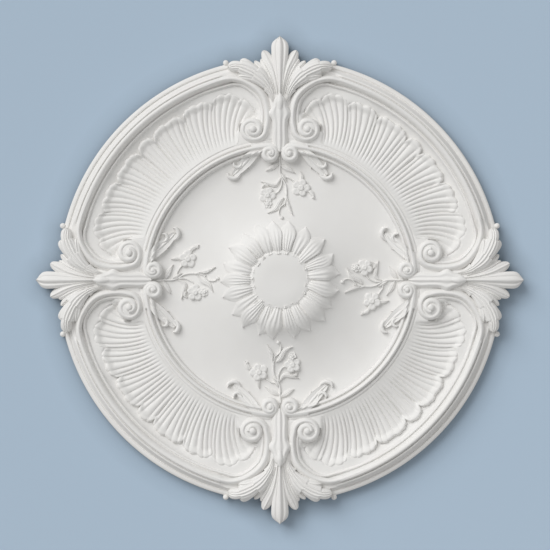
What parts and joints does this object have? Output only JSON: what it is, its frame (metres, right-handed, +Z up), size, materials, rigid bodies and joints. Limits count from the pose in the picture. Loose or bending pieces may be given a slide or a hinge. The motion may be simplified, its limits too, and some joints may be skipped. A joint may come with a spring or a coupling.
{
  "type": "ceiling rose",
  "caption": "Round cast ceiling rose: sunflower centre, flower sprays, fluted shell band, scrolls and acanthus finials on its axes.",
  "frame": {"origin": "centre of the flat back, where the rose meets the ceiling", "axes": "+Z up into the ceiling, so the carving hangs towards -Z; +X and +Y through two of the four finials"},
  "size_m": [0.9758, 0.9759, 0.073],
  "materials": {
    "white_primer": "matt factory primer on moulded polyurethane"
  },
  "bodies": {
    "root": {"ceiling_rose": "white_primer"}
  },
  "joints": []
}
